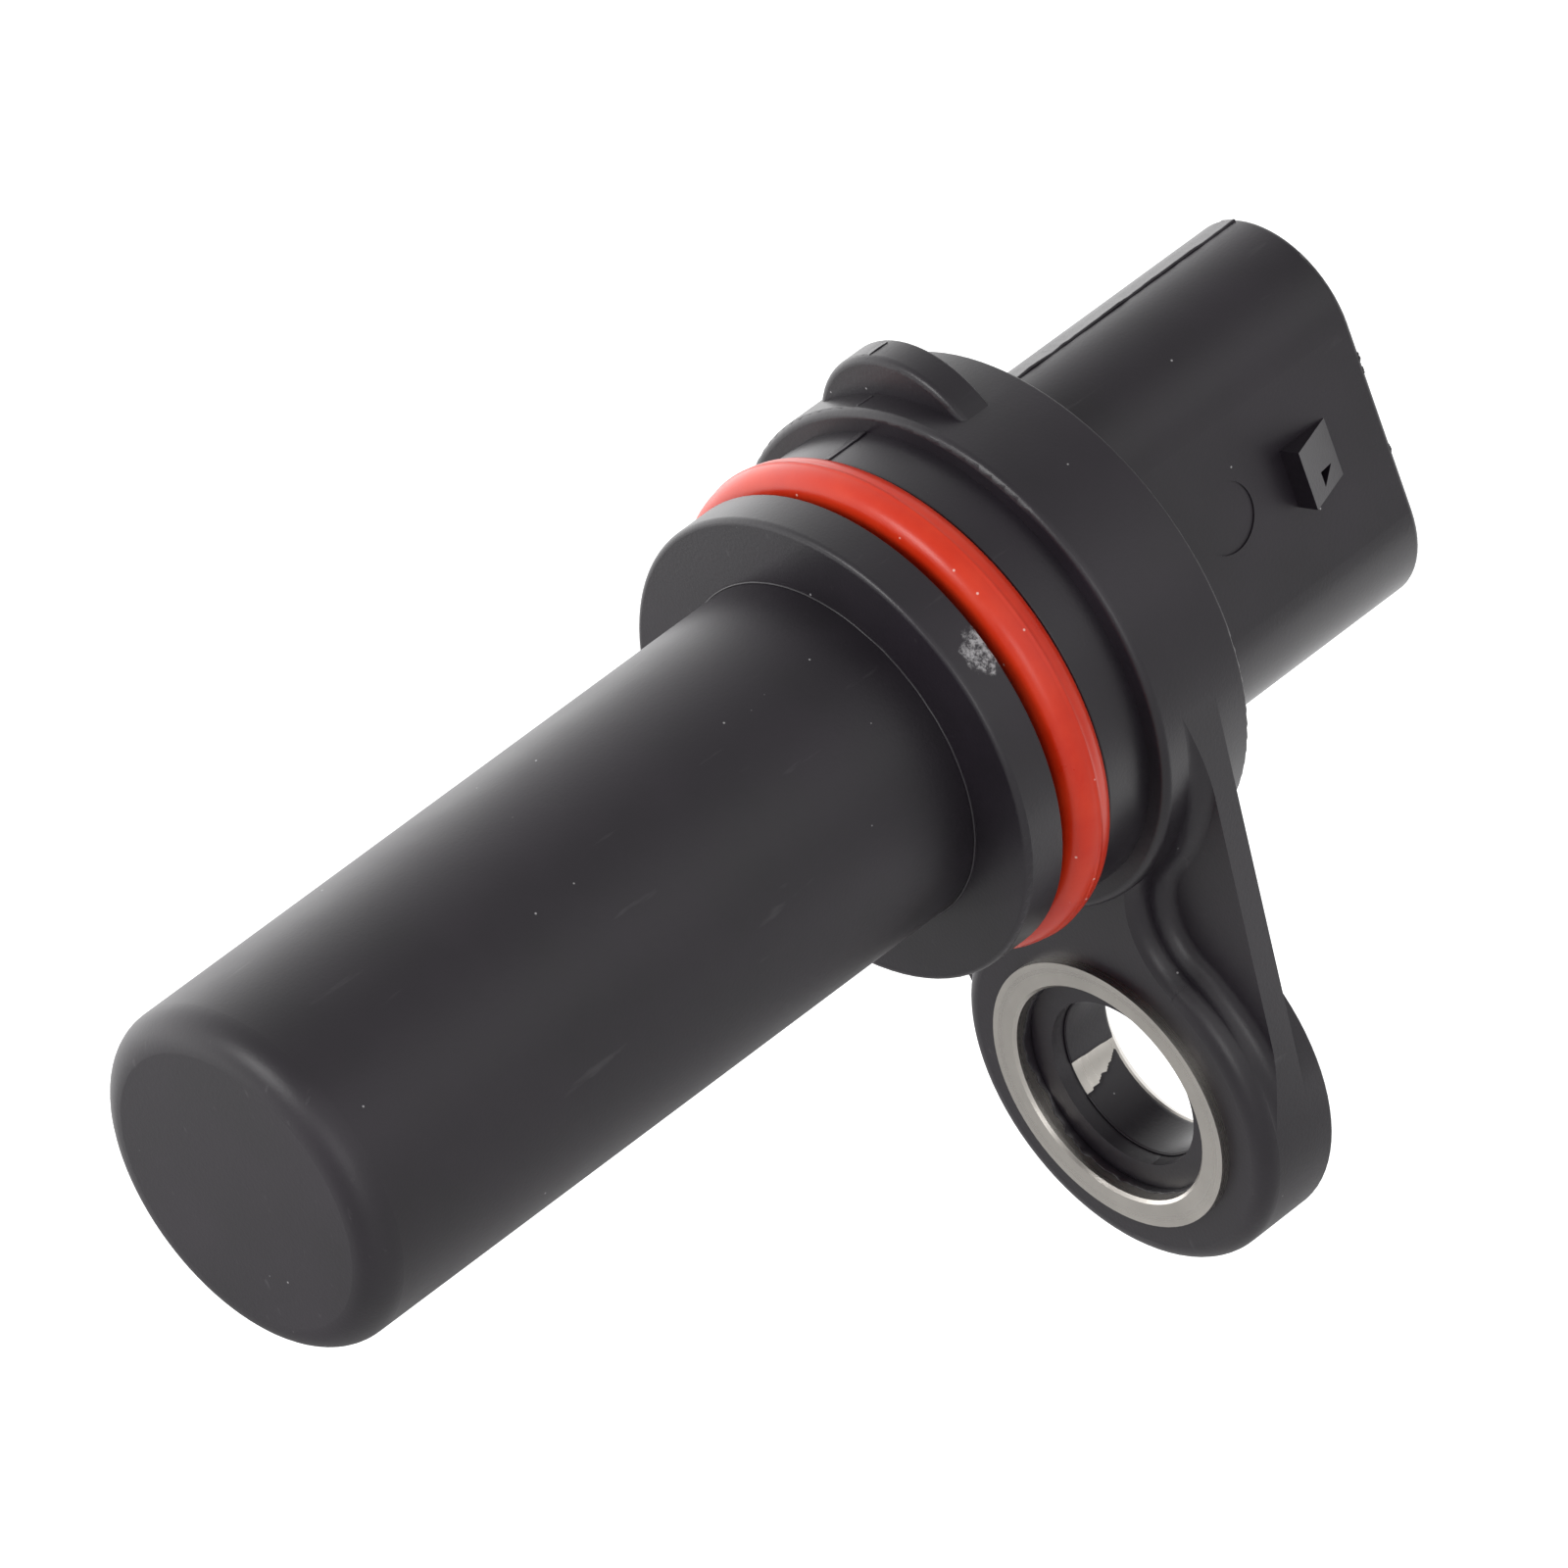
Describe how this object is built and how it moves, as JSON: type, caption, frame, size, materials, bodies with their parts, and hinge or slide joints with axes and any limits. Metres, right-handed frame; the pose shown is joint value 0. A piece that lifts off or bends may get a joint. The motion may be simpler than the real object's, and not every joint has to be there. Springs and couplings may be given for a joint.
{
  "type": "crankshaft position sensor",
  "caption": "Inductive crankshaft position sensor: plain round probe, sealed pilot collar, single-bolt ear with steel bush, and an oblong latching plug socket.",
  "frame": {"origin": "on the probe axis at the collar's front face, where the pilot starts", "axes": "+X along the probe axis from the tip to the plug socket, -Z from the axis to the fixing bolt, -Y to the latch side"},
  "size_m": [0.0734, 0.0272, 0.0494],
  "materials": {
    "cup_plastic": "satin moulded black",
    "body_plastic": "satin moulded black",
    "seal_rubber": "smooth red rubber",
    "bush_steel": "turned, slightly dull",
    "former_plastic": "moulded tan",
    "copper_wire": "enamelled copper",
    "tape_film": "glossy amber film",
    "pole_steel": "turned soft iron",
    "magnet_ferrite": "ground sintered magnet",
    "terminal_tin": "tin-plated strip"
  },
  "bodies": {
    "root": {"probe_cup": "cup_plastic", "body": "body_plastic", "seal_ring": "seal_rubber", "bolt_bush": "bush_steel", "coil_former": "former_plastic", "winding": "copper_wire", "winding_tape": "tape_film", "pole_pin": "pole_steel", "magnet": "magnet_ferrite", "upper_terminal": "terminal_tin", "lower_terminal": "terminal_tin", "start_lead": "copper_wire", "finish_lead": "copper_wire"}
  },
  "joints": []
}
